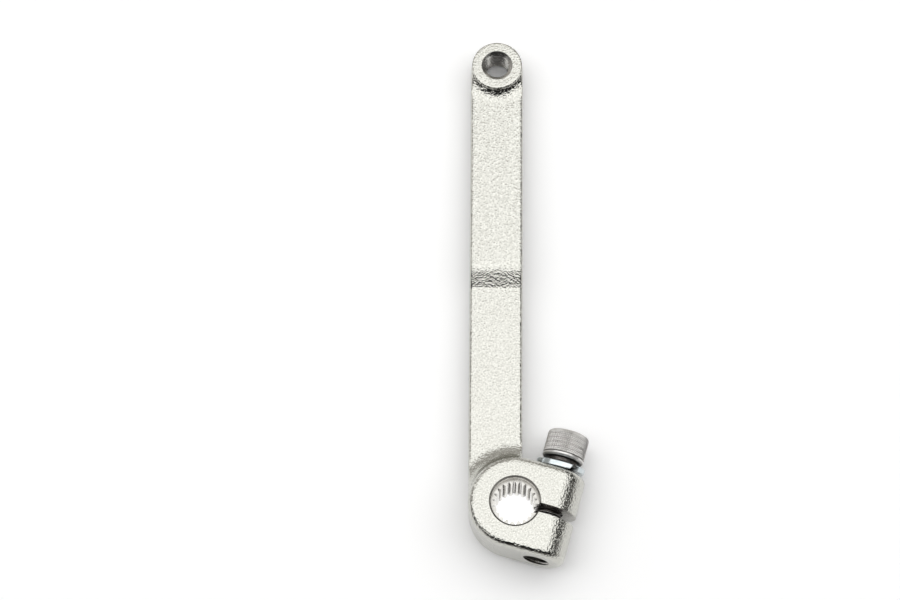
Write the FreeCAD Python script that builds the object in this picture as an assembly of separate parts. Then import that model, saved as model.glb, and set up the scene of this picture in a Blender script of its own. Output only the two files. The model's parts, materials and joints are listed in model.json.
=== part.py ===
"""Clutch release lever: a plated cast lever arm with a split, serrated clamp hub, its socket head
clamp screw and the spring lock washer under the screw head.

Units are millimetres. The origin is on the axis of the serrated bore, in the plane of the hub's back
face. +Z is the bore axis, +Y points along the arm to its free end, and the clamp screw leans to +X.
"""

import FreeCAD, Part
import math
import os
from FreeCAD import Vector

INCH = 25.4
SAME_PLACE = 1e-6              # two positions closer than this are the same

# Clamp hub
HUB_RADIUS = 13.1
HUB_THICKNESS = 16.0
HUB_EDGE_RADIUS = 2.0
CLAMP_TILT_DEG = 15.0          # the slot and the ears are turned this far below +X
SCREW_OFFSET = 9.4             # bore axis to clamp screw axis
SLOT_WIDTH = 2.7

# Serrated bore
SERRATION_COUNT = 22
SERRATION_TIP_RADIUS = 5.35
SERRATION_ROOT_RADIUS = 6.3
TIP_SHARE = 0.30               # share of the tooth pitch that is flat at the tip
ROOT_SHARE = 0.16              # share of the tooth pitch that is flat at the root
COUNTERBORE_RADIUS = 6.8
COUNTERBORE_DEPTH = 2.4
COUNTERBORE_RIM = 0.5          # chamfer round the counterbore's mouth
BACK_CHAMFER = 0.5

# Arm
ARM_OFFSET_X = -5.5            # centreline of the arm, beside the bore axis
ARM_LENGTH = 132.5             # bore axis to end hole axis, along Y
ARM_WIDTH = 15.5
ARM_THICKNESS = 6.35
ARM_EDGE_RADIUS = 1.0
ARM_TOP_LOW = 9.9              # top face beside the hub
JOGGLE_RISE = 2.4
JOGGLE_MIDDLE_Y = 68.0
JOGGLE_SLOPE_DEG = 23.0
JOGGLE_BEND_RADIUS = 4.2       # at the middle of the thickness
DRAFT_DEG = 4.0
HUB_BLEND_RADIUS = 5.5
HUB_BACK_INSET = 1.2           # the back's blend starts this far inside the hub's outline
HUB_BACK_STEP = 0.6            # and ends this far above the back face
BLEND_ROOT = ARM_THICKNESS / 3 # depth that a blend reaches into the arm

# Threaded boss at the free end
BOSS_RADIUS = ARM_WIDTH / 2
BOSS_RAISED = 2.1              # boss face above the arm's upper face
BOSS_THICKNESS = 9.2
BOSS_EDGE_RADIUS = 0.4
BOSS_BLEND_RADIUS = 6.0
END_HOLE_RADIUS = 3.45         # minor radius of 5/16-24, the hole that the linkage's end screws into
END_SINK_RADIUS = 4.55
END_SINK_DEPTH = 0.8

# Clamp screw, 5/16-24 x 1 in socket head cap screw
SCREW_RADIUS = INCH * 5 / 16 / 2
SCREW_LENGTH = INCH
SCREW_POINT_CHAMFER = 0.8
HEAD_RADIUS = 5.95
HEAD_HEIGHT = INCH * 5 / 16
HEAD_TOP_RADIUS = 1.0
HEAD_FOOT_CHAMFER = 0.5
SOCKET_ACROSS_FLATS = INCH / 4
SOCKET_DEPTH = 4.0
SOCKET_CHAMFER = 0.35
THREAD_CLEARANCE = 0.06        # round the screw's plain stand-in for its thread
THREAD_MINOR_RADIUS = 3.45     # of the tapped hole beyond the screw's point
POINT_ROOM = 0.4               # between the screw's point and the narrower hole
CLEARANCE_HOLE_RADIUS = 4.2
EXIT_CHAMFER = 0.15

# Split spring lock washer, as it sits before the screw is tightened
WASHER_OUTER_RADIUS = 7.0
WASHER_INNER_RADIUS = 4.1
WASHER_THICKNESS = 1.6
WASHER_CHAMFER = 0.2
WASHER_GAP_DEG = 9.0
WASHER_GAP_FROM_TOP_DEG = 32.0
WASHER_CUT_SKEW_DEG = 25.0     # the cut slopes like this through the thickness
WASHER_LEAN_DEG = 8.2          # the loose washer leans towards the ear on its front side
LOOSE_GAP = 0.05               # kept between the loose washer and what it touches

ARM_MIDDLE_LOW = ARM_TOP_LOW - ARM_THICKNESS / 2
ARM_MIDDLE_HIGH = ARM_MIDDLE_LOW + JOGGLE_RISE
ARM_TOP_HIGH = ARM_TOP_LOW + JOGGLE_RISE
BOSS_TOP = ARM_TOP_HIGH + BOSS_RAISED
BOSS_BOTTOM = BOSS_TOP - BOSS_THICKNESS
WASHER_LEAN = math.radians(WASHER_LEAN_DEG)
WASHER_STACK = (WASHER_THICKNESS * math.cos(WASHER_LEAN)
                + 2 * WASHER_OUTER_RADIUS * math.sin(WASHER_LEAN) + 2 * LOOSE_GAP)

X, Y, Z = Vector(1, 0, 0), Vector(0, 1, 0), Vector(0, 0, 1)
ORIGIN = Vector(0, 0, 0)


def tilted(shape):
    """Turn a shape made with the slot along +X and the clamp screw along +Y into its place."""
    turned = shape.copy()
    turned.rotate(ORIGIN, Z, -CLAMP_TILT_DEG)
    return turned


def closed_face(points):
    return Part.Face(Part.makePolygon(points + points[:1]))


def revolved_about_z(points, centre):
    """A solid of revolution from (radius, height) points about a vertical axis through centre."""
    face = closed_face([centre + Vector(r, 0, z) for r, z in points])
    return face.revolve(centre, Z, 360)


def hub_block():
    """Round hub with two ears whose outer end is round about the clamp screw's axis."""
    half = HUB_THICKNESS / 2
    hub = Part.makeCylinder(HUB_RADIUS, HUB_THICKNESS, ORIGIN, Z, 180)
    hub.rotate(ORIGIN, Z, 90)
    ears = Part.makeBox(SCREW_OFFSET, 2 * HUB_RADIUS, HUB_THICKNESS, Vector(0, -HUB_RADIUS, 0))
    ear_end = Part.makeCylinder(half, 2 * HUB_RADIUS, Vector(SCREW_OFFSET, -HUB_RADIUS, half), Y)
    block = hub.fuse([ears, ear_end]).removeSplitter().Solids[0]
    return block.makeFillet(HUB_EDGE_RADIUS, outline_edges(block))


def outline_edges(block):
    """The hub's outline edges, on its front and back faces and round the ear end."""
    edges = []
    for edge in block.Edges:
        middle = edge.valueAt((edge.FirstParameter + edge.LastParameter) / 2)
        on_face = min(abs(middle.z), abs(middle.z - HUB_THICKNESS)) < SAME_PLACE
        on_side = abs(abs(middle.y) - HUB_RADIUS) < SAME_PLACE
        across = abs(middle.y) < SAME_PLACE and middle.x > 0
        if (on_face or on_side) and not across:
            edges.append(edge)
    return edges


def arm_section(middle_z):
    """Cross-section of the arm: draft to both sides of the middle, and rounded corners."""
    half_width, half = ARM_WIDTH / 2, ARM_THICKNESS / 2
    face_half = half_width - half * math.tan(math.radians(DRAFT_DEG))
    corners = [(-half_width, 0), (-face_half, half), (face_half, half),
               (half_width, 0), (face_half, -half), (-face_half, -half)]
    points = [Vector(ARM_OFFSET_X + x, 0, middle_z + z) for x, z in corners]
    wire = Part.makePolygon(points + points[:1])
    blank = Part.Face(wire).extrude(Y)
    long_edges = [e for e in blank.Edges
                  if abs(e.tangentAt(e.FirstParameter).y) > 0.99
                  and abs(abs(e.valueAt(e.FirstParameter).z - middle_z) - half) < SAME_PLACE]
    rounded = blank.makeFillet(ARM_EDGE_RADIUS, long_edges)
    start = [f for f in rounded.Faces if abs(f.CenterOfMass.y) < SAME_PLACE][0]
    return start.OuterWire


def arm_spine():
    """Middle line of the arm: straight, a joggle of two bends, and straight to the boss."""
    slope = math.radians(JOGGLE_SLOPE_DEG)
    bend = JOGGLE_BEND_RADIUS
    ramp = (JOGGLE_RISE - 2 * bend * (1 - math.cos(slope))) / math.sin(slope)
    reach = 2 * bend * math.sin(slope) + ramp * math.cos(slope)
    y, z = JOGGLE_MIDDLE_Y - reach / 2, ARM_MIDDLE_LOW

    def bend_point(angle):
        return Vector(ARM_OFFSET_X, bend * math.sin(angle), bend * (1 - math.cos(angle)))

    start = Vector(0, y, z)
    first = [start + bend_point(a) for a in (0, slope / 2, slope)]
    end = Vector(0, y + reach, ARM_MIDDLE_HIGH)
    mirror = [bend_point(a) for a in (slope, slope / 2, 0)]
    second = [Vector(m.x, end.y - m.y, end.z - m.z) for m in mirror]
    edges = [
        Part.LineSegment(Vector(ARM_OFFSET_X, 0, z), first[0]).toShape(),
        Part.Arc(*first).toShape(),
        Part.LineSegment(first[2], second[0]).toShape(),
        Part.Arc(*second).toShape(),
        Part.LineSegment(second[2], Vector(ARM_OFFSET_X, ARM_LENGTH, ARM_MIDDLE_HIGH)).toShape(),
    ]
    return Part.Wire(edges)


def arm_bar():
    return arm_spine().makePipeShell([arm_section(ARM_MIDDLE_LOW)], True, False)


def boss_centre(z=0.0):
    return Vector(ARM_OFFSET_X, ARM_LENGTH, z)


def boss():
    """Round boss with the arm's draft on both sides of the arm's middle plane."""
    draft = math.tan(math.radians(DRAFT_DEG))
    top = BOSS_RADIUS - (BOSS_TOP - ARM_MIDDLE_HIGH) * draft
    bottom = BOSS_RADIUS - (ARM_MIDDLE_HIGH - BOSS_BOTTOM) * draft
    solid = revolved_about_z([(0, BOSS_BOTTOM), (bottom, BOSS_BOTTOM), (BOSS_RADIUS, ARM_MIDDLE_HIGH),
                              (top, BOSS_TOP), (0, BOSS_TOP)], boss_centre())
    rims = [e for e in solid.Edges if e.Closed
            and min(abs(e.CenterOfMass.z - BOSS_TOP), abs(e.CenterOfMass.z - BOSS_BOTTOM)) < SAME_PLACE]
    return solid.makeFillet(BOSS_EDGE_RADIUS, rims)


def concave_skirt(centre, inner_radius, base_z, rise, blend_radius):
    """A ring round a vertical axis that sweeps up in a hollow arc from base_z to base_z + rise."""
    run = math.sqrt(2 * blend_radius * abs(rise) - rise * rise)
    sign = 1 if rise > 0 else -1
    outer = inner_radius + run
    arc_centre = Vector(outer, 0, base_z + sign * blend_radius)

    def arc_point(share):
        start = math.asin(run / blend_radius) * share
        return Vector(arc_centre.x - blend_radius * math.sin(start), 0,
                      arc_centre.z - sign * blend_radius * math.cos(start))

    low, middle, high = arc_point(0), arc_point(0.5), arc_point(1)
    root = base_z - sign * BLEND_ROOT
    edges = [
        Part.Arc(low, middle, high).toShape(),
        Part.LineSegment(high, Vector(0, 0, high.z)).toShape(),
        Part.LineSegment(Vector(0, 0, high.z), Vector(0, 0, root)).toShape(),
        Part.LineSegment(Vector(0, 0, root), Vector(outer, 0, root)).toShape(),
        Part.LineSegment(Vector(outer, 0, root), low).toShape(),
    ]
    ring = Part.Face(Part.Wire(edges)).revolve(ORIGIN, Z, 360)
    ring.translate(centre)
    return ring


def over_arm(y_from, y_to, middle_z):
    """A tall prism over the arm's width, whose sides carry on the arm's draft."""
    draft = math.tan(math.radians(DRAFT_DEG))
    tall = HUB_THICKNESS
    narrow = ARM_WIDTH / 2 - tall * draft
    outline = [(-ARM_WIDTH / 2, 0), (-narrow, tall), (narrow, tall),
               (ARM_WIDTH / 2, 0), (narrow, -tall), (-narrow, -tall)]
    points = [Vector(ARM_OFFSET_X + x, y_from, middle_z + z) for x, z in outline]
    return closed_face(points).extrude(Y * (y_to - y_from))


def blends():
    """Hollow blends from the arm up to the boss, and from the arm to the hub on both sides."""
    near_boss = over_arm(ARM_LENGTH - 3 * BOSS_RADIUS, ARM_LENGTH, ARM_MIDDLE_HIGH)
    near_hub = over_arm(0, 2 * HUB_RADIUS, ARM_MIDDLE_LOW)
    boss_rim = BOSS_RADIUS - (BOSS_TOP - ARM_MIDDLE_HIGH) * math.tan(math.radians(DRAFT_DEG))
    up_to_boss = concave_skirt(boss_centre(), boss_rim - BOSS_EDGE_RADIUS, ARM_TOP_HIGH,
                               BOSS_RAISED, BOSS_BLEND_RADIUS)
    up_to_hub = concave_skirt(ORIGIN, HUB_RADIUS, ARM_TOP_LOW,
                              HUB_THICKNESS - HUB_EDGE_RADIUS - ARM_TOP_LOW, HUB_BLEND_RADIUS)
    back = ARM_TOP_LOW - ARM_THICKNESS
    down_to_hub = concave_skirt(ORIGIN, HUB_RADIUS - HUB_BACK_INSET, back, HUB_BACK_STEP - back,
                                HUB_BLEND_RADIUS)
    return [up_to_hub.common(near_hub), down_to_hub.common(near_hub), up_to_boss.common(near_boss)]


def serration_cutter():
    """Prism with the bore's toothed outline; its teeth point inwards."""
    pitch = 2 * math.pi / SERRATION_COUNT
    points = []
    for i in range(SERRATION_COUNT):
        middle = i * pitch
        for radius, share in ((SERRATION_TIP_RADIUS, TIP_SHARE), (SERRATION_ROOT_RADIUS, ROOT_SHARE)):
            centre = middle if radius == SERRATION_TIP_RADIUS else middle + pitch / 2
            half = share * pitch / 2
            points.append([Vector(radius * math.cos(a), radius * math.sin(a), 0)
                           for a in (centre - half, centre, centre + half)])
    edges = []
    for here, after in zip(points, points[1:] + points[:1]):
        edges.append(Part.Arc(*here).toShape())
        edges.append(Part.LineSegment(here[2], after[0]).toShape())
    return Part.Face(Part.Wire(edges)).extrude(Z * HUB_THICKNESS)


def bore_cutters():
    """The serrations, the counterbore in front, and the lead-in cone at the back."""
    front = HUB_THICKNESS - COUNTERBORE_DEPTH
    counterbore = Part.makeCylinder(COUNTERBORE_RADIUS, COUNTERBORE_DEPTH, Vector(0, 0, front))
    rim = Part.makeCone(COUNTERBORE_RADIUS, COUNTERBORE_RADIUS + COUNTERBORE_RIM, COUNTERBORE_RIM,
                        Vector(0, 0, HUB_THICKNESS - COUNTERBORE_RIM))
    back_cone = Part.makeCone(SERRATION_TIP_RADIUS + BACK_CHAMFER, SERRATION_TIP_RADIUS, BACK_CHAMFER)
    return [serration_cutter(), counterbore, rim, back_cone]


def clamp_cutters():
    """Slot, clearance hole in the head side ear, tapped hole in the other ear."""
    half = HUB_THICKNESS / 2
    reach = SCREW_OFFSET + HUB_THICKNESS
    slot = Part.makeBox(reach, SLOT_WIDTH, HUB_THICKNESS, Vector(0, -SLOT_WIDTH / 2, 0))
    clearance = Part.makeCylinder(CLEARANCE_HOLE_RADIUS, HUB_RADIUS, Vector(SCREW_OFFSET, 0, half), Y)
    point_y = HUB_RADIUS + WASHER_STACK - SCREW_LENGTH
    engaged = Part.makeCylinder(SCREW_RADIUS + THREAD_CLEARANCE, POINT_ROOM - point_y,
                                Vector(SCREW_OFFSET, point_y - POINT_ROOM, half), Y)
    exit_face = Vector(SCREW_OFFSET, -HUB_RADIUS, half)
    tapped = Part.makeCylinder(THREAD_MINOR_RADIUS, HUB_RADIUS, exit_face, Y)
    exit_sink = Part.makeCone(THREAD_MINOR_RADIUS + EXIT_CHAMFER, THREAD_MINOR_RADIUS, EXIT_CHAMFER,
                              exit_face, Y)
    return [slot, clearance, engaged, tapped, exit_sink]


def end_hole_cutters():
    through = Part.makeCylinder(END_HOLE_RADIUS, BOSS_THICKNESS, boss_centre(BOSS_BOTTOM))
    front_sink = Part.makeCone(END_HOLE_RADIUS, END_SINK_RADIUS, END_SINK_DEPTH,
                               boss_centre(BOSS_TOP - END_SINK_DEPTH))
    back_sink = Part.makeCone(END_SINK_RADIUS, END_HOLE_RADIUS, END_SINK_DEPTH, boss_centre(BOSS_BOTTOM))
    return [through, front_sink, back_sink]


def lever_arm():
    """One plated casting: hub, arm and boss joined one at a time, then machined."""
    body = tilted(hub_block())
    for piece in [arm_bar()] + blends() + [boss()]:
        body = body.fuse(piece)
    for cutter in [tilted(c) for c in bore_cutters() + clamp_cutters()] + end_hole_cutters():
        body = body.cut(cutter)
    return body.removeSplitter()


def on_screw_axis(shape):
    """Move a shape made along +Z from the ear's outer face into place on the clamp screw's axis."""
    placed = shape.copy()
    placed.rotate(ORIGIN, X, -90)
    placed.translate(Vector(SCREW_OFFSET, HUB_RADIUS, HUB_THICKNESS / 2))
    return tilted(placed)


def hexagon(across_flats, height, z):
    corner = across_flats / 2 / math.cos(math.radians(30))
    points = [Vector(corner * math.cos(math.radians(60 * i)), corner * math.sin(math.radians(60 * i)), z)
              for i in range(6)]
    return closed_face(points).extrude(Z * height)


def clamp_screw():
    """Socket head cap screw, its head resting on the washer."""
    foot = WASHER_STACK
    tip = foot - SCREW_LENGTH
    shank = Part.makeCylinder(SCREW_RADIUS, SCREW_LENGTH, Vector(0, 0, tip))
    point = [e for e in shank.Edges if e.Closed and abs(e.CenterOfMass.z - tip) < SAME_PLACE]
    shank = shank.makeChamfer(SCREW_POINT_CHAMFER, point)
    head = Part.makeCylinder(HEAD_RADIUS, HEAD_HEIGHT, Vector(0, 0, foot))
    crown = [e for e in head.Edges
             if e.Closed and abs(e.CenterOfMass.z - foot - HEAD_HEIGHT) < SAME_PLACE]
    head = head.makeFillet(HEAD_TOP_RADIUS, crown)
    seat = [e for e in head.Edges if e.Closed and abs(e.CenterOfMass.z - foot) < SAME_PLACE]
    head = head.makeChamfer(HEAD_FOOT_CHAMFER, seat)
    top = foot + HEAD_HEIGHT
    socket = hexagon(SOCKET_ACROSS_FLATS, SOCKET_DEPTH, top - SOCKET_DEPTH)
    corner = SOCKET_ACROSS_FLATS / 2 / math.cos(math.radians(30))
    socket_mouth = Part.makeCone(corner, corner + SOCKET_CHAMFER, SOCKET_CHAMFER,
                                 Vector(0, 0, top - SOCKET_CHAMFER))
    return on_screw_axis(head.fuse(shank).cut([socket, socket_mouth]).removeSplitter())


def lock_washer():
    """Split ring, leaning on the screw the way a loose one does, with its cut ends skewed."""
    ring = Part.makeCylinder(WASHER_OUTER_RADIUS, WASHER_THICKNESS)
    ring = ring.makeChamfer(WASHER_CHAMFER, [e for e in ring.Edges if e.Closed])
    hole = Part.makeCylinder(WASHER_INNER_RADIUS, WASHER_THICKNESS)
    width = 2 * WASHER_OUTER_RADIUS * math.sin(math.radians(WASHER_GAP_DEG / 2))
    gap = Part.makeBox(2 * WASHER_OUTER_RADIUS, width, 4 * WASHER_THICKNESS,
                       Vector(0, -width / 2, -2 * WASHER_THICKNESS))
    gap.rotate(ORIGIN, X, WASHER_CUT_SKEW_DEG)
    gap.rotate(ORIGIN, Z, -90 + WASHER_GAP_FROM_TOP_DEG)
    washer = ring.cut([hole, gap])
    washer.translate(Vector(0, 0, -WASHER_THICKNESS / 2))
    washer.rotate(ORIGIN, X, WASHER_LEAN_DEG)
    washer.translate(Vector(0, 0, WASHER_STACK / 2))
    return on_screw_axis(washer)


def main():
    os.makedirs("parts", exist_ok=True)
    nodes = {"lever_arm": lever_arm(), "clamp_screw": clamp_screw(), "lock_washer": lock_washer()}
    for name, shape in nodes.items():
        solids = shape.Solids
        print(name, "valid", shape.isValid(), "solids", len(solids), "volume", round(shape.Volume, 1))
        solids[0].exportStep("parts/" + name + ".step")


main()
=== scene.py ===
import json
import math

import bpy
from mathutils import Matrix, Vector


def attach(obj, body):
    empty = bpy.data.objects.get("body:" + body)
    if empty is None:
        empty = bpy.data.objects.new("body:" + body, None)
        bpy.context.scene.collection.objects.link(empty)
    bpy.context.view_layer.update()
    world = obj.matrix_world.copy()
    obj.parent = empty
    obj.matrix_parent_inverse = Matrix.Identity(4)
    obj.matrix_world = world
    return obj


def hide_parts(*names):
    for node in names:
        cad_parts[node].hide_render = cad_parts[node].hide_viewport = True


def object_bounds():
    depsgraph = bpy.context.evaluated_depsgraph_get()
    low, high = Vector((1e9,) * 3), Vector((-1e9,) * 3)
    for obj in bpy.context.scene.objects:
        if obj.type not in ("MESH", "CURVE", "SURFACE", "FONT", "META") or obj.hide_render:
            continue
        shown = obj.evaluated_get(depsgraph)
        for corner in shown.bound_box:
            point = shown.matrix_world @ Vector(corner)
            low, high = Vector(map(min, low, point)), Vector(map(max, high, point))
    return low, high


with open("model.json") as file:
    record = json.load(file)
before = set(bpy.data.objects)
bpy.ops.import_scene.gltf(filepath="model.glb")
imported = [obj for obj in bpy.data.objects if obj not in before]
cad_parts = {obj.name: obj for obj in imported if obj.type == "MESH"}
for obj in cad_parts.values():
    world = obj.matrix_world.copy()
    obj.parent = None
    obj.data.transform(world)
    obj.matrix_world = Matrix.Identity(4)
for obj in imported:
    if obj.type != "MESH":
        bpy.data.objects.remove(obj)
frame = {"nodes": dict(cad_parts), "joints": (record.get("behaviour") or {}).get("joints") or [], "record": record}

cad_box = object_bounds()

MM = 0.001
INCH = 25.4 * MM
QUARTER_TURN = math.pi / 2

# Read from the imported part
mounts = {m["name"]: m for m in frame["record"]["mounts"]}
screw_joint = next(j for j in frame["joints"] if j["name"] == "clamp_screw_turn")
SCREW_AXIS = Vector(screw_joint["axis"])
SCREW_MIDDLE = Vector(screw_joint["pos_m"])          # on the screw's axis, in the middle of the slot
HUB_THICKNESS = 2 * SCREW_MIDDLE.z
TOOTH_TIP = mounts["serrated_bore"]["dims"]["r_mm"] * MM
END_HOLE = Vector(mounts["end_hole"]["pos_m"])
THREAD_MINOR = mounts["end_hole"]["dims"]["r_mm"] * MM
BOSS_TOP = mounts["boss_front"]["pos_m"][2]
BOSS_BOTTOM = mounts["boss_back"]["pos_m"][2]
SCREW_OFFSET = math.hypot(SCREW_MIDDLE.x, SCREW_MIDDLE.y)

# Hub, as the CAD model has it
HUB_RADIUS = 13.1 * MM
SLOT_WIDTH = 2.7 * MM
TOOTH_COUNT = 22
TOOTH_ROOT = 6.3 * MM
TIP_SHARE = 0.30
ROOT_SHARE = 0.16
COUNTERBORE_RADIUS = 6.8 * MM
COUNTERBORE_DEPTH = 2.4 * MM
COUNTERBORE_RIM = 0.5 * MM
BACK_CHAMFER = 0.5 * MM
CLEARANCE_HOLE_RADIUS = 4.2 * MM
CLEARANCE_HOLE_RIM = 0.3 * MM
EXIT_CHAMFER = 0.15 * MM
SINK_RADIUS = 4.55 * MM
SINK_DEPTH = 0.8 * MM

# Casting
VOXEL = 0.32 * MM
SOFTENING_STEPS = 5
SOFTENING_FACTOR = 0.5

# How far plugs and cutters run past the faces they meet, and a cutter's cone past the hole it opens
OVERLAP = 0.6 * MM
CONE_OVERLAP = 0.1 * MM

# 5/16-24 thread, shared by the clamp screw and both tapped holes
THREAD_MAJOR = INCH * 5 / 16 / 2
PITCH = INCH / 24
THREAD_SLACK = 0.04 * MM
SCREW_ROOT_EXTRA = 0.12 * MM
FLAT_ROOT = 0.25                   # shares of the pitch
FLAT_CREST = 0.125

# Clamp screw
SCREW_LENGTH = INCH
HEAD_RADIUS = 5.95 * MM
HEAD_HEIGHT = INCH * 5 / 16
HEAD_TOP_RADIUS = 1.0 * MM
SOCKET_ACROSS_FLATS = INCH / 4
SOCKET_DEPTH = 4.0 * MM
SOCKET_CHAMFER = 0.35 * MM
DRILL_DEPTH = 1.2 * MM             # below the socket's floor
DRILL_SHARE = 0.8                  # of the socket's radius over its corners
DRILL_TIP_RADIUS = 0.1 * MM
POINT_CHAMFER = 0.8 * MM
WASHER_STACK = 3.68 * MM
FOOT_CHAMFER = 0.5 * MM
# Fillet under the head, as steps out from the thread and up from the head's foot
UNDERHEAD_FILLET = [(-0.05 * MM, -0.9 * MM), (0, -0.6 * MM), (0.15 * MM, -0.15 * MM),
                    (0.45 * MM, 0.05 * MM)]

# Knurl. Below it runs a plain band, with a small groove between the two
KNURL_COUNT = 60
KNURL_DEPTH = 0.22 * MM
KNURL_START = 1.25 * MM
KNURL_ANGLE = math.radians(60)
KNURL_POINTS = 6                   # across one knurl
KNURL_ROWS = 36
BAND_INSET_LOW = 0.06 * MM
BAND_INSET_HIGH = 0.04 * MM
BAND_END = KNURL_START - 0.25 * MM
GROOVE_HEIGHT = KNURL_START - 0.1 * MM
GROOVE_DEPTH = KNURL_DEPTH + 0.03 * MM

# Lock washer
WASHER_OUTER = 7.0 * MM
WASHER_INNER = 4.1 * MM
WASHER_THICKNESS = 1.6 * MM
WASHER_LEAN = math.radians(8.2)
WASHER_GAP = math.radians(9)
WASHER_GAP_FROM_TOP = math.radians(32)
WASHER_CUT_SKEW = math.radians(25)
WASHER_CORNER = 0.22 * MM
WASHER_STEPS = 160

# Points round a lathed shape or a thread, and steps round a corner
LATHE_POINTS = 128
THREAD_POINTS = 72
CORNER_STEPS = 4
HEAD_CORNER_STEPS = 6
EAR_STEPS = 64

# Edges that turn more than this many degrees stay sharp
CASTING_SHARP = 32
SCREW_SHARP = 28
WASHER_SHARP = 40

# Painted shade in corners: the colour that ambient occlusion mixes into the metals' base colour where they are
# closed in
PAINTED_SHADE = (0.06, 0.05, 0.045, 1)

# Floor. It touches the lever's back this far inside the hub's edge and inside the boss's edge
TOUCH_HUB_INSET = 2.0 * MM
TOUCH_BOSS_INSET = 0.6 * MM
FLOOR_REACH = 3.0
FLOOR_WHITE = (0.95, 0.95, 0.95, 1)
FLOOR_ROUGHNESS = 0.9
# The floor glows evenly. Near the lever the glow is dimmed into a painted shadow within FLOOR_SHADE_REACH, and
# under the bore it is raised into a painted pool of light
FLOOR_GLOW = 0.25
FLOOR_SHADE_REACH = 30 * MM

# Softbox over the lever: how far it reaches from straight above, and its brightness from its near
# edge to its far edge
SOFTBOX_HEIGHT = 1.5
SOFTBOX_NEAR = math.radians(22.4)
SOFTBOX_FAR = math.radians(42)
SOFTBOX_SIDE = math.radians(52)
SOFTBOX_STRENGTH = 1.64
SOFTBOX_STOPS = [(0, 1.06), (0.3, 1.0), (0.52, 0.88), (0.58, 0.90), (0.67, 0.99), (0.76, 1.08),
                 (0.87, 0.82), (1.0, 0.62)]

# Studio walls: brightness along Y times brightness along X, and a paler horizon on the -Y side.
# The horizon fades out between two heights and between two places along Y, all for a direction of 1
FRONT_TO_BACK = [(0.0, 0.02), (0.40, 0.03), (0.55, (0.55, 0.54, 0.52)), (1.0, (0.64, 0.62, 0.59))]
LEFT_TO_RIGHT = [(0.0, 0.75), (0.6, 0.85), (0.85, 0.12), (1.0, 0.3)]
HORIZON = (0.42, 0.41, 0.40, 1)
HORIZON_HEIGHTS = (0.16, 0.32)
HORIZON_PLACES = (-0.35, -0.1)

# Camera, with lens and sensor in millimetres
CAMERA_PLACE = Vector((-10.57, -192.93, 755.43)) * MM
CAMERA_ELEVATION = math.radians(71.188)
CAMERA_YAW = math.radians(-1.844)
CAMERA_ROLL = math.radians(-1.376)
CAMERA_LENS = 109.5
CAMERA_SENSOR = 36
CAMERA_CLIP = (0.01, 20)


# ---------------------------------------------------------------- mesh tools

def make_object(name, points, faces):
    mesh = bpy.data.meshes.new(name)
    mesh.from_pydata([tuple(p) for p in points], [], faces)
    mesh.validate()
    obj = bpy.data.objects.new(name, mesh)
    bpy.context.scene.collection.objects.link(obj)
    return obj


def apply_modifiers(obj):
    graph = bpy.context.evaluated_depsgraph_get()
    mesh = bpy.data.meshes.new_from_object(obj.evaluated_get(graph))
    obj.modifiers.clear()
    old = obj.data
    obj.data = mesh
    bpy.data.meshes.remove(old)
    obj.data.name = obj.name


def boolean(obj, other, operation):
    """Combine obj with other, whose faces keep their own material, and remove other."""
    modifier = obj.modifiers.new("cut", "BOOLEAN")
    modifier.operation = operation
    modifier.solver = "MANIFOLD"
    modifier.material_mode = "TRANSFER"
    modifier.object = other
    apply_modifiers(obj)
    mesh = other.data
    bpy.data.objects.remove(other)
    bpy.data.meshes.remove(mesh)


def joined(name, objects):
    """One object that holds the others' meshes side by side."""
    points, faces = [], []
    for obj in objects:
        start = len(points)
        points += [obj.matrix_world @ v.co for v in obj.data.vertices]
        faces += [[start + i for i in p.vertices] for p in obj.data.polygons]
    for obj in objects:
        mesh = obj.data
        bpy.data.objects.remove(obj)
        bpy.data.meshes.remove(mesh)
    return make_object(name, points, faces)


def moved(obj, matrix):
    obj.data.transform(matrix)
    return obj


def ring_solid(name, rings):
    """A closed solid from rings of points, each with the same count, capped by its first and last."""
    count = len(rings[0])
    points = [p for ring in rings for p in ring]
    faces = []
    for k in range(len(rings) - 1):
        low, high = k * count, (k + 1) * count
        for i in range(count):
            after = (i + 1) % count
            faces.append([low + i, low + after, high + after, high + i])
    faces.append(list(range(count - 1, -1, -1)))
    faces.append([(len(rings) - 1) * count + i for i in range(count)])
    return make_object(name, points, faces)


def round_ring(radius, z, count):
    return [Vector((radius * math.cos(a), radius * math.sin(a), z))
            for a in (2 * math.pi * i / count for i in range(count))]


def revolved(name, profile):
    """A solid of revolution about Z from (radius, z) pairs, from its lowest ring to its highest."""
    return ring_solid(name, [round_ring(r, z, LATHE_POINTS) for r, z in profile])


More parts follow.
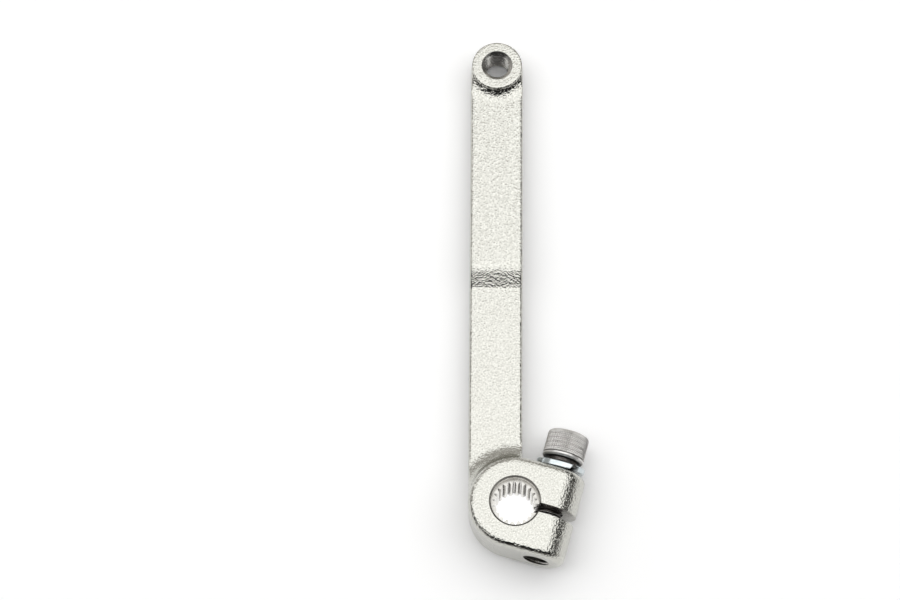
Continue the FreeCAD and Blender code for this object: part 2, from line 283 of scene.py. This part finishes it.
def helical_rod(name, major, minor, low, high):
    """A rod with a right-hand thread about Z. Both ends run at least a pitch past low and high."""
    flank = (1 - FLAT_ROOT - FLAT_CREST) / 2
    steps = [(0.0, minor), (FLAT_ROOT, minor), (FLAT_ROOT + flank, major),
             (FLAT_ROOT + flank + FLAT_CREST, major)]
    first = math.floor(low / PITCH) - 2
    turns = math.ceil(high / PITCH) + 1 - first
    count = THREAD_POINTS
    per_turn = len(steps)
    points = []
    for turn in range(turns):
        for share, radius in steps:
            for i in range(count):
                angle = 2 * math.pi * i / count
                z = (first + turn + share + i / count) * PITCH
                points.append((radius * math.cos(angle), radius * math.sin(angle), z))
    rows = turns * per_turn
    faces = []
    for row in range(rows - 1):
        for i in range(count - 1):
            a = row * count + i
            faces.append([a, a + 1, a + 1 + count, a + count])
        if row + 1 + per_turn < rows:
            a, b = row * count + count - 1, (row + per_turn) * count
            faces.append([a, b, b + count, a + count])
    start, end = len(points), len(points) + 1
    last = rows - per_turn - 1
    points.append((0, 0, first * PITCH))
    points.append((0, 0, (first + turns) * PITCH))
    bottom = list(range(count)) + [r * count for r in range(per_turn, 0, -1)]
    faces += [[start, bottom[(k + 1) % len(bottom)], bottom[k]] for k in range(len(bottom))]
    top = [(rows - 1) * count + i for i in range(count)]
    top += [r * count + count - 1 for r in range(rows - 2, last - 1, -1)]
    faces += [[end, top[k], top[(k + 1) % len(top)]] for k in range(len(top))]
    return make_object(name, points, faces)


# ---------------------------------------------------------------- places

def axis_frame(origin, direction):
    """Matrix with Z along direction, X level, from origin."""
    z = Vector(direction).normalized()
    x = z.cross(Vector((0, 0, 1))).normalized()
    return Matrix.Translation(origin) @ Matrix((x, z.cross(x), z)).transposed().to_4x4()


screw_frame = axis_frame(SCREW_MIDDLE, SCREW_AXIS)
ear_frame = Matrix.Rotation(math.atan2(SCREW_MIDDLE.y, SCREW_MIDDLE.x), 4, "Z")


# ---------------------------------------------------------------- lever

def cast_blank():
    """The lever before machining: the CAD body with its cuts filled, softened like a casting."""
    source = frame["nodes"]["lever_arm"]
    body = make_object("blank", [v.co for v in source.data.vertices],
                       [list(p.vertices) for p in source.data.polygons])
    bore = revolved("bore_plug", [(COUNTERBORE_RADIUS + OVERLAP, 0),
                                  (COUNTERBORE_RADIUS + OVERLAP, HUB_THICKNESS)])
    screw = revolved("screw_plug", [(CLEARANCE_HOLE_RADIUS + OVERLAP, -HUB_RADIUS),
                                    (CLEARANCE_HOLE_RADIUS + OVERLAP, HUB_RADIUS)])
    moved(screw, screw_frame)
    end = revolved("end_plug", [(SINK_RADIUS + OVERLAP, BOSS_BOTTOM),
                                (SINK_RADIUS + OVERLAP, BOSS_TOP)])
    moved(end, Matrix.Translation((END_HOLE.x, END_HOLE.y, 0)))
    blank = joined("lever_casting", [body, bore, screw, end, slot_plug()])
    blank.data.remesh_voxel_size = VOXEL
    blank.data.use_remesh_preserve_volume = True
    blank.data.use_remesh_fix_poles = False
    bpy.context.view_layer.objects.active = blank
    bpy.ops.object.voxel_remesh()
    soften(blank)
    return blank


def slot_plug():
    """Fills the slot out to the ears' round end."""
    half = HUB_THICKNESS / 2
    outline = [(0, 0), (SCREW_OFFSET, 0)]
    outline += [(SCREW_OFFSET + half * math.sin(a), half - half * math.cos(a))
                for a in (math.pi * i / EAR_STEPS for i in range(1, EAR_STEPS))]
    outline += [(SCREW_OFFSET, 2 * half), (0, 2 * half)]
    reach = SLOT_WIDTH / 2 + OVERLAP
    rings = [[Vector((x, y, z)) for x, z in outline] for y in (reach, -reach)]
    return moved(ring_solid("slot_plug", rings), ear_frame)


def soften(obj):
    modifier = obj.modifiers.new("soften", "SMOOTH")
    modifier.factor = SOFTENING_FACTOR
    modifier.iterations = SOFTENING_STEPS
    apply_modifiers(obj)


def tooth_cutter():
    """Prism with the bore's toothed outline, its teeth pointing inwards."""
    pitch = 2 * math.pi / TOOTH_COUNT
    ring = []
    for i in range(TOOTH_COUNT):
        for radius, share, middle in ((TOOTH_TIP, TIP_SHARE, i * pitch),
                                      (TOOTH_ROOT, ROOT_SHARE, (i + 0.5) * pitch)):
            half = share * pitch / 2
            ring += [(radius * math.cos(a), radius * math.sin(a))
                     for a in (middle - half, middle, middle + half)]
    rings = [[Vector((x, y, z)) for x, y in ring] for z in (-OVERLAP, HUB_THICKNESS + OVERLAP)]
    return moved(ring_solid("teeth", rings), ear_frame)


def counterbore_cutter():
    front = HUB_THICKNESS - COUNTERBORE_DEPTH
    rim = COUNTERBORE_RADIUS + COUNTERBORE_RIM
    return revolved("counterbore", [(COUNTERBORE_RADIUS, front),
                                    (COUNTERBORE_RADIUS, HUB_THICKNESS - COUNTERBORE_RIM),
                                    (rim, HUB_THICKNESS), (rim, HUB_THICKNESS + OVERLAP)])


def back_cutter():
    wide = TOOTH_TIP + BACK_CHAMFER
    return revolved("bore_back", [(wide, -OVERLAP), (wide, 0),
                                  (TOOTH_TIP - CONE_OVERLAP, BACK_CHAMFER + CONE_OVERLAP)])


def slot_cutter():
    reach = SCREW_OFFSET + HUB_THICKNESS
    half = SLOT_WIDTH / 2
    corners = [(0, -half), (reach, -half), (reach, half), (0, half)]
    rings = [[Vector((x, y, z)) for x, y in corners]
             for z in (-OVERLAP, HUB_THICKNESS + OVERLAP)]
    return moved(ring_solid("slot", rings), ear_frame)


def clearance_cutter():
    wide = CLEARANCE_HOLE_RADIUS + CLEARANCE_HOLE_RIM
    hole = revolved("clearance", [(CLEARANCE_HOLE_RADIUS, 0),
                                  (CLEARANCE_HOLE_RADIUS, HUB_RADIUS - CLEARANCE_HOLE_RIM),
                                  (wide, HUB_RADIUS), (wide, HUB_RADIUS + OVERLAP)])
    return moved(hole, screw_frame)


def tapped_cutter():
    rod = helical_rod("tapped", THREAD_MAJOR + THREAD_SLACK, THREAD_MINOR, -HUB_RADIUS - PITCH,
                      PITCH)
    return moved(rod, screw_frame)


def exit_sink_cutter():
    wide = THREAD_MINOR + EXIT_CHAMFER
    sink = revolved("exit_sink", [(wide, -HUB_RADIUS - OVERLAP), (wide, -HUB_RADIUS),
                                  (THREAD_MINOR - CONE_OVERLAP,
                                   -HUB_RADIUS + EXIT_CHAMFER + CONE_OVERLAP)])
    return moved(sink, screw_frame)


def end_cutters():
    """Threaded hole through the boss, with a countersink on both faces."""
    place = Matrix.Translation((END_HOLE.x, END_HOLE.y, 0))
    rod = helical_rod("end_thread", THREAD_MAJOR, THREAD_MINOR, BOSS_BOTTOM - PITCH,
                      BOSS_TOP + PITCH)
    narrow = THREAD_MINOR - CONE_OVERLAP
    depth = SINK_DEPTH * (1 + CONE_OVERLAP / (SINK_RADIUS - THREAD_MINOR))
    front = revolved("front_sink", [(narrow, BOSS_TOP - depth), (SINK_RADIUS, BOSS_TOP),
                                    (SINK_RADIUS, BOSS_TOP + OVERLAP)])
    back = revolved("back_sink", [(SINK_RADIUS, BOSS_BOTTOM - OVERLAP), (SINK_RADIUS, BOSS_BOTTOM),
                                  (narrow, BOSS_BOTTOM + depth)])
    return [moved(c, place) for c in (rod, front, back)]


def lever(plating, machined):
    """The cast blank with its machined cuts, whose faces get the machined material."""
    casting = cast_blank()
    casting.data.materials.append(plating)
    cutters = [tooth_cutter(), counterbore_cutter(), back_cutter(), slot_cutter(),
               clearance_cutter(), tapped_cutter(), exit_sink_cutter()] + end_cutters()
    for cutter in cutters:
        cutter.data.materials.append(machined)
        boolean(casting, cutter, "DIFFERENCE")
    smooth_shading(casting, CASTING_SHARP)
    return casting


def smooth_shading(obj, angle):
    obj.data.shade_smooth()
    obj.data.set_sharp_from_angle(angle=math.radians(angle))


# ---------------------------------------------------------------- clamp screw

def knurled_head():
    """Head of the cap screw: knurled side, smooth band at the foot, rounded top."""
    around = KNURL_COUNT * KNURL_POINTS
    rings = [round_ring(HEAD_RADIUS - inset, z, around)
             for inset, z in ((FOOT_CHAMFER, 0), (BAND_INSET_LOW, FOOT_CHAMFER),
                              (BAND_INSET_HIGH, BAND_END), (GROOVE_DEPTH, GROOVE_HEIGHT))]
    knurl_top = HEAD_HEIGHT - HEAD_TOP_RADIUS
    for row in range(KNURL_ROWS + 1):
        z = KNURL_START + (knurl_top - KNURL_START) * row / KNURL_ROWS
        rings.append(knurl_ring(HEAD_RADIUS, z, around, 1.0))
    for k in range(1, HEAD_CORNER_STEPS + 1):
        bend = k / HEAD_CORNER_STEPS
        radius = HEAD_RADIUS - HEAD_TOP_RADIUS * (1 - math.cos(QUARTER_TURN * bend))
        z = knurl_top + HEAD_TOP_RADIUS * math.sin(QUARTER_TURN * bend)
        rings.append(knurl_ring(radius, z, around, 1 - bend))
    return ring_solid("head", rings)


def knurl_ring(radius, z, around, share):
    """Ring at height z through two crossing sets of grooves, cut to share of the knurl's depth."""
    lead = z / (HEAD_RADIUS * math.tan(KNURL_ANGLE))
    ring = []
    for i in range(around):
        a = 2 * math.pi * i / around
        left = abs(math.sin(KNURL_COUNT / 2 * (a + lead)))
        right = abs(math.sin(KNURL_COUNT / 2 * (a - lead)))
        r = radius - KNURL_DEPTH * share * (1 - min(left, right))
        ring.append(Vector((r * math.cos(a), r * math.sin(a), z)))
    return ring


def socket_cutters():
    """Hexagon socket, its chamfered mouth and the drill's cone below its floor."""
    sides = 6
    corner = SOCKET_ACROSS_FLATS / 2 / math.cos(math.pi / sides)
    floor_height = HEAD_HEIGHT - SOCKET_DEPTH
    hexagon = ring_solid("socket", [round_ring(corner, z, sides)
                                    for z in (floor_height, HEAD_HEIGHT + OVERLAP)])
    wide = corner + SOCKET_CHAMFER
    mouth = revolved("mouth", [(corner - CONE_OVERLAP, HEAD_HEIGHT - SOCKET_CHAMFER - CONE_OVERLAP),
                               (wide, HEAD_HEIGHT), (wide, HEAD_HEIGHT + OVERLAP)])
    drill = revolved("drill", [(DRILL_TIP_RADIUS, floor_height - DRILL_DEPTH),
                               (corner * DRILL_SHARE, floor_height),
                               (corner * DRILL_SHARE, floor_height + OVERLAP)])
    return [hexagon, mouth, drill]


def clamp_screw():
    """Socket head cap screw with its thread, in place on its axis."""
    foot = HUB_RADIUS + WASHER_STACK
    tip = foot - SCREW_LENGTH
    thread = helical_rod("thread", THREAD_MAJOR - THREAD_SLACK, THREAD_MINOR - SCREW_ROOT_EXTRA,
                         tip, foot)
    envelope = revolved("envelope", [(THREAD_MAJOR - POINT_CHAMFER, tip),
                                     (THREAD_MAJOR, tip + POINT_CHAMFER),
                                     (THREAD_MAJOR, foot + OVERLAP)])
    boolean(thread, envelope, "INTERSECT")
    head = knurled_head()
    for cutter in socket_cutters():
        boolean(head, cutter, "DIFFERENCE")
    moved(head, Matrix.Translation((0, 0, foot)))
    collar = revolved("collar", [(THREAD_MAJOR + out, foot + up) for out, up in UNDERHEAD_FILLET])
    boolean(thread, collar, "UNION")
    boolean(thread, head, "UNION")
    thread.name = "cap_screw"
    moved(thread, screw_frame)
    smooth_shading(thread, SCREW_SHARP)
    return thread


# ---------------------------------------------------------------- lock washer

def lock_washer():
    """Split ring with rounded corners, leaning on the ear at its front."""
    half_width = (WASHER_OUTER - WASHER_INNER) / 2
    half_height = WASHER_THICKNESS / 2
    middle = (WASHER_OUTER + WASHER_INNER) / 2
    section = []
    for k, (sx, sz) in enumerate(((1, -1), (1, 1), (-1, 1), (-1, -1))):
        for step in range(CORNER_STEPS + 1):
            a = (k - 1 + step / CORNER_STEPS) * QUARTER_TURN
            section.append((sx * (half_width - WASHER_CORNER) + WASHER_CORNER * math.cos(a),
                            sz * (half_height - WASHER_CORNER) + WASHER_CORNER * math.sin(a)))
    rings = []
    for k in range(WASHER_STEPS + 1):
        ring = []
        for dx, dz in section:
            skew = dz * math.tan(WASHER_CUT_SKEW) / middle
            a = WASHER_GAP / 2 + (2 * math.pi - WASHER_GAP) * k / WASHER_STEPS + skew
            ring.append(Vector(((middle + dx) * math.cos(a), (middle + dx) * math.sin(a), dz)))
        rings.append(ring)
    washer = ring_solid("spring_washer", rings)
    turn = Matrix.Rotation(-QUARTER_TURN + WASHER_GAP_FROM_TOP, 4, "Z")
    lean = Matrix.Rotation(WASHER_LEAN, 4, "X")
    lift = Matrix.Translation((0, 0, HUB_RADIUS + WASHER_STACK / 2))
    moved(washer, screw_frame @ lift @ lean @ turn)
    smooth_shading(washer, WASHER_SHARP)
    return washer


# ---------------------------------------------------------------- materials

def new_material(name):
    material = bpy.data.materials.new(name)
    material.use_nodes = True
    return material, material.node_tree, material.node_tree.nodes["Principled BSDF"]


def noise(tree, size, detail=2.0):
    """3-D noise in object space, with grains about size metres across."""
    coordinates = tree.nodes.new("ShaderNodeTexCoord")
    texture = tree.nodes.new("ShaderNodeTexNoise")
    texture.inputs["Scale"].default_value = 1 / size
    texture.inputs["Detail"].default_value = detail
    tree.links.new(coordinates.outputs["Object"], texture.inputs["Vector"])
    return texture.outputs["Fac"]


def spread(tree, value, low, high, from_low=0.3, from_high=0.7):
    """value mapped to low..high. It comes from a noise's usual range unless told otherwise."""
    node = tree.nodes.new("ShaderNodeMapRange")
    node.inputs["From Min"].default_value = from_low
    node.inputs["From Max"].default_value = from_high
    node.inputs["To Min"].default_value = low
    node.inputs["To Max"].default_value = high
    tree.links.new(value, node.inputs["Value"])
    return node.outputs["Result"]


def bump(tree, height, distance):
    node = tree.nodes.new("ShaderNodeBump")
    node.inputs["Strength"].default_value = 1.0
    node.inputs["Distance"].default_value = distance
    tree.links.new(height, node.inputs["Height"])
    return node.outputs["Normal"]


def blend_colours(tree, share, first, second):
    node = tree.nodes.new("ShaderNodeMix")
    node.data_type = "RGBA"
    node.inputs["A"].default_value = (*first, 1)
    node.inputs["B"].default_value = (*second, 1)
    tree.links.new(share, node.inputs["Factor"])
    return node.outputs["Result"]


def shade_corners(tree, colour, reach, shaded_openness, lit_openness):
    """colour darkened to painted shade where ambient occlusion finds the surface closed in within reach. The two
    openness values are where the shade is full and where it ends.
    """
    openness = tree.nodes.new("ShaderNodeAmbientOcclusion")
    openness.inputs["Distance"].default_value = reach
    node = tree.nodes.new("ShaderNodeMix")
    node.data_type = "RGBA"
    node.inputs["A"].default_value = PAINTED_SHADE
    tree.links.new(colour, node.inputs["B"])
    share = spread(tree, openness.outputs["AO"], 0.0, 1.0, shaded_openness, lit_openness)
    tree.links.new(share, node.inputs["Factor"])
    return node.outputs["Result"]


def metal(name, colours, tone_size, grain_size, grain_height, gloss_size, roughness, corner_shade, detail=2.0):
    """Metal with darker and lighter tones, a fine grain, uneven gloss and painted shade in its corners.

    The painted shade takes its reach, then how open a corner is where the shade is full and where it ends.
    """
    material, tree, shader = new_material(name)
    shader.inputs["Metallic"].default_value = 1.0
    tone = spread(tree, noise(tree, tone_size, detail), 0.0, 1.0)
    colour = blend_colours(tree, tone, *colours)
    # Painted shade: the base colour is darkened where ambient occlusion finds corners and gaps
    tree.links.new(shade_corners(tree, colour, *corner_shade), shader.inputs["Base Color"])
    grain = bump(tree, noise(tree, grain_size, detail), grain_height)
    tree.links.new(grain, shader.inputs["Normal"])
    gloss = spread(tree, noise(tree, gloss_size), *roughness)
    tree.links.new(gloss, shader.inputs["Roughness"])
    return material


def plated_casting():
    """Bright plating over a casting, whose pebbles show in its tone and its grain alike."""
    return metal("plated_casting", colours=((0.50, 0.495, 0.452), (0.635, 0.633, 0.59)),
                 tone_size=0.5 * MM, grain_size=0.5 * MM, grain_height=0.17 * MM, detail=1.0,
                 gloss_size=1.5 * MM, roughness=(0.07, 0.12), corner_shade=(1.2 * MM, 0.15, 0.65))


def machined_plating():
    """Cut faces inside the bore, the holes and the slot: duller, with fine tool marks."""
    return metal("machined_plating", colours=((0.52, 0.505, 0.47), (0.64, 0.63, 0.60)),
                 tone_size=1.2 * MM, grain_size=0.2 * MM, grain_height=0.02 * MM,
                 gloss_size=0.8 * MM, roughness=(0.16, 0.28), corner_shade=(2.0 * MM, 0.15, 0.65))


def zinc_screw():
    """Dull zinc grey, with painted shade between the head and the washer."""
    return metal("zinc_screw", colours=((0.62, 0.607, 0.587), (0.80, 0.787, 0.767)),
                 tone_size=0.8 * MM, grain_size=0.25 * MM, grain_height=0.02 * MM,
                 gloss_size=0.6 * MM, roughness=(0.34, 0.46), corner_shade=(2.5 * MM, 0.5, 0.85))


def bright_zinc():
    """Bluish bright zinc."""
    return metal("bright_zinc", colours=((0.56, 0.62, 0.64), (0.67, 0.71, 0.73)),
                 tone_size=1.2 * MM, grain_size=0.4 * MM, grain_height=0.006 * MM,
                 gloss_size=0.6 * MM, roughness=(0.14, 0.24), corner_shade=(1.2 * MM, 0.1, 0.4))


# ---------------------------------------------------------------- studio

def ramp(tree, value, stops):
    """Brightness along value: stops are (place, grey or colour) pairs."""
    node = tree.nodes.new("ShaderNodeValToRGB")
    node.color_ramp.interpolation = "EASE"
    elements = node.color_ramp.elements
    while len(elements) < len(stops):
        elements.new(0.5)
    for element, (place, colour) in zip(elements, stops):
        element.position = place
        element.color = (*colour, 1) if isinstance(colour, tuple) else (colour, colour, colour, 1)
    tree.links.new(value, node.inputs["Fac"])
    return node.outputs["Color"]


def floor():
    """Pale table top that glows evenly, with painted shadow near the lever and a painted pool of light under the
    bore. The lever rests on the hub's back edge and on the boss.
    """
    touch_hub = Vector((0, HUB_RADIUS - TOUCH_HUB_INSET, 0))
    touch_boss = Vector((0, cad_box[1].y - TOUCH_BOSS_INSET, BOSS_BOTTOM))
    slope = math.atan2(touch_boss.z - touch_hub.z, touch_boss.y - touch_hub.y)
    corners = ((-1, -1), (1, -1), (1, 1), (-1, 1))
    top = make_object("floor", [(x * FLOOR_REACH, y * FLOOR_REACH, 0) for x, y in corners],
                      [[0, 1, 2, 3]])
    top.location = touch_hub
    top.rotation_euler = (slope, 0, 0)
    material, tree, shader = new_material("floor_white")
    shader.inputs["Base Color"].default_value = FLOOR_WHITE
    shader.inputs["Roughness"].default_value = FLOOR_ROUGHNESS
    shader.inputs["Emission Color"].default_value = (1, 1, 1, 1)
    top.data.materials.append(material)
    # Painted shadow: the glow is scaled by ambient occlusion, so it dims where the lever is close above
    openness = tree.nodes.new("ShaderNodeAmbientOcclusion")
    openness.inputs["Distance"].default_value = FLOOR_SHADE_REACH
    glow = tree.nodes.new("ShaderNodeMath")
    glow.operation = "MULTIPLY_ADD"
    glow.inputs[1].default_value = FLOOR_GLOW
    tree.links.new(openness.outputs["AO"], glow.inputs[0])
    # Painted pool of light under the bore: full glow inside the tooth tips, gone at the hub's edge
    from_bore = distance_from(tree, -touch_hub)
    tree.links.new(spread(tree, from_bore, 1.0, 0.0, TOOTH_TIP, HUB_RADIUS), glow.inputs[2])
    tree.links.new(glow.outputs["Value"], shader.inputs["Emission Strength"])


def distance_from(tree, point):
    """Distance, in object space, from a point."""
    place = tree.nodes.new("ShaderNodeTexCoord")
    away = tree.nodes.new("ShaderNodeVectorMath")
    away.operation = "DISTANCE"
    away.inputs[1].default_value = point
    tree.links.new(place.outputs["Object"], away.inputs[0])
    return away.outputs["Value"]


def softbox():
    """A wide level light that faces down."""
    near, far, side = (SOFTBOX_HEIGHT * math.tan(a) for a in (SOFTBOX_NEAR, SOFTBOX_FAR, SOFTBOX_SIDE))
    half_depth = (near + far) / 2
    corners = ((-1, -1), (-1, 1), (1, 1), (1, -1))
    plane = make_object("softbox", [(x * side, y * half_depth, 0) for x, y in corners],
                        [[0, 1, 2, 3]])
    plane.location = (0, (far - near) / 2, SOFTBOX_HEIGHT)
    material = bpy.data.materials.new("softbox")
    material.use_nodes = True
    tree = material.node_tree
    tree.nodes.clear()
    output = tree.nodes.new("ShaderNodeOutputMaterial")
    emission = tree.nodes.new("ShaderNodeEmission")
    emission.inputs["Strength"].default_value = SOFTBOX_STRENGTH
    tree.links.new(emission.outputs["Emission"], output.inputs["Surface"])
    place = tree.nodes.new("ShaderNodeTexCoord")
    split = tree.nodes.new("ShaderNodeSeparateXYZ")
    tree.links.new(place.outputs["Generated"], split.inputs["Vector"])
    tree.links.new(ramp(tree, split.outputs["Y"], SOFTBOX_STOPS), emission.inputs["Color"])
    plane.data.materials.append(material)


def walls():
    """World round the lever: dark towards -Y above a paler horizon, and paler on the other sides."""
    world = bpy.data.worlds.new("studio")
    world.use_nodes = True
    tree = world.node_tree
    background = tree.nodes["Background"]
    direction = tree.nodes.new("ShaderNodeTexCoord")
    split = tree.nodes.new("ShaderNodeSeparateXYZ")
    tree.links.new(direction.outputs["Generated"], split.inputs["Vector"])
    along_y = ramp(tree, spread(tree, split.outputs["Y"], 0, 1, -1, 1), FRONT_TO_BACK)
    along_x = ramp(tree, spread(tree, split.outputs["X"], 0, 1, -1, 1), LEFT_TO_RIGHT)
    product = tree.nodes.new("ShaderNodeMix")
    product.data_type = "RGBA"
    product.blend_type = "MULTIPLY"
    product.inputs["Factor"].default_value = 1.0
    tree.links.new(along_y, product.inputs["A"])
    tree.links.new(along_x, product.inputs["B"])
    low = tree.nodes.new("ShaderNodeMath")
    low.operation = "MULTIPLY"
    tree.links.new(spread(tree, split.outputs["Z"], 1.0, 0.0, *HORIZON_HEIGHTS), low.inputs[0])
    tree.links.new(spread(tree, split.outputs["Y"], 1.0, 0.0, *HORIZON_PLACES), low.inputs[1])
    horizon = tree.nodes.new("ShaderNodeMix")
    horizon.data_type = "RGBA"
    horizon.inputs["B"].default_value = HORIZON
    tree.links.new(product.outputs["Result"], horizon.inputs["A"])
    tree.links.new(low.outputs["Value"], horizon.inputs["Factor"])
    tree.links.new(horizon.outputs["Result"], background.inputs["Color"])
    background.inputs["Strength"].default_value = 1.0
    bpy.context.scene.world = world


def camera():
    level = math.cos(CAMERA_ELEVATION)
    look = Vector((math.sin(CAMERA_YAW) * level, math.cos(CAMERA_YAW) * level,
                   -math.sin(CAMERA_ELEVATION)))
    roll = Matrix.Rotation(CAMERA_ROLL, 4, "Z").to_quaternion()
    data = bpy.data.cameras.new("camera")
    data.lens = CAMERA_LENS
    data.sensor_width = CAMERA_SENSOR
    data.clip_start, data.clip_end = CAMERA_CLIP
    obj = bpy.data.objects.new("camera", data)
    obj.location = CAMERA_PLACE
    obj.rotation_mode = "QUATERNION"
    obj.rotation_quaternion = look.to_track_quat("-Z", "Y") @ roll
    bpy.context.scene.collection.objects.link(obj)
    bpy.context.scene.camera = obj


# ---------------------------------------------------------------- scene

camera()
floor()
softbox()
walls()
bpy.context.scene.view_settings.view_transform = "Standard"

lever_piece = lever(plated_casting(), machined_plating())
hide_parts("lever_arm")
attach(lever_piece, "lever")

screw_piece = clamp_screw()
screw_piece.data.materials.clear()
screw_piece.data.materials.append(zinc_screw())
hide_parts("clamp_screw")
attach(screw_piece, "screw")

washer_piece = lock_washer()
washer_piece.data.materials.clear()
washer_piece.data.materials.append(bright_zinc())
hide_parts("lock_washer")
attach(washer_piece, "washer")
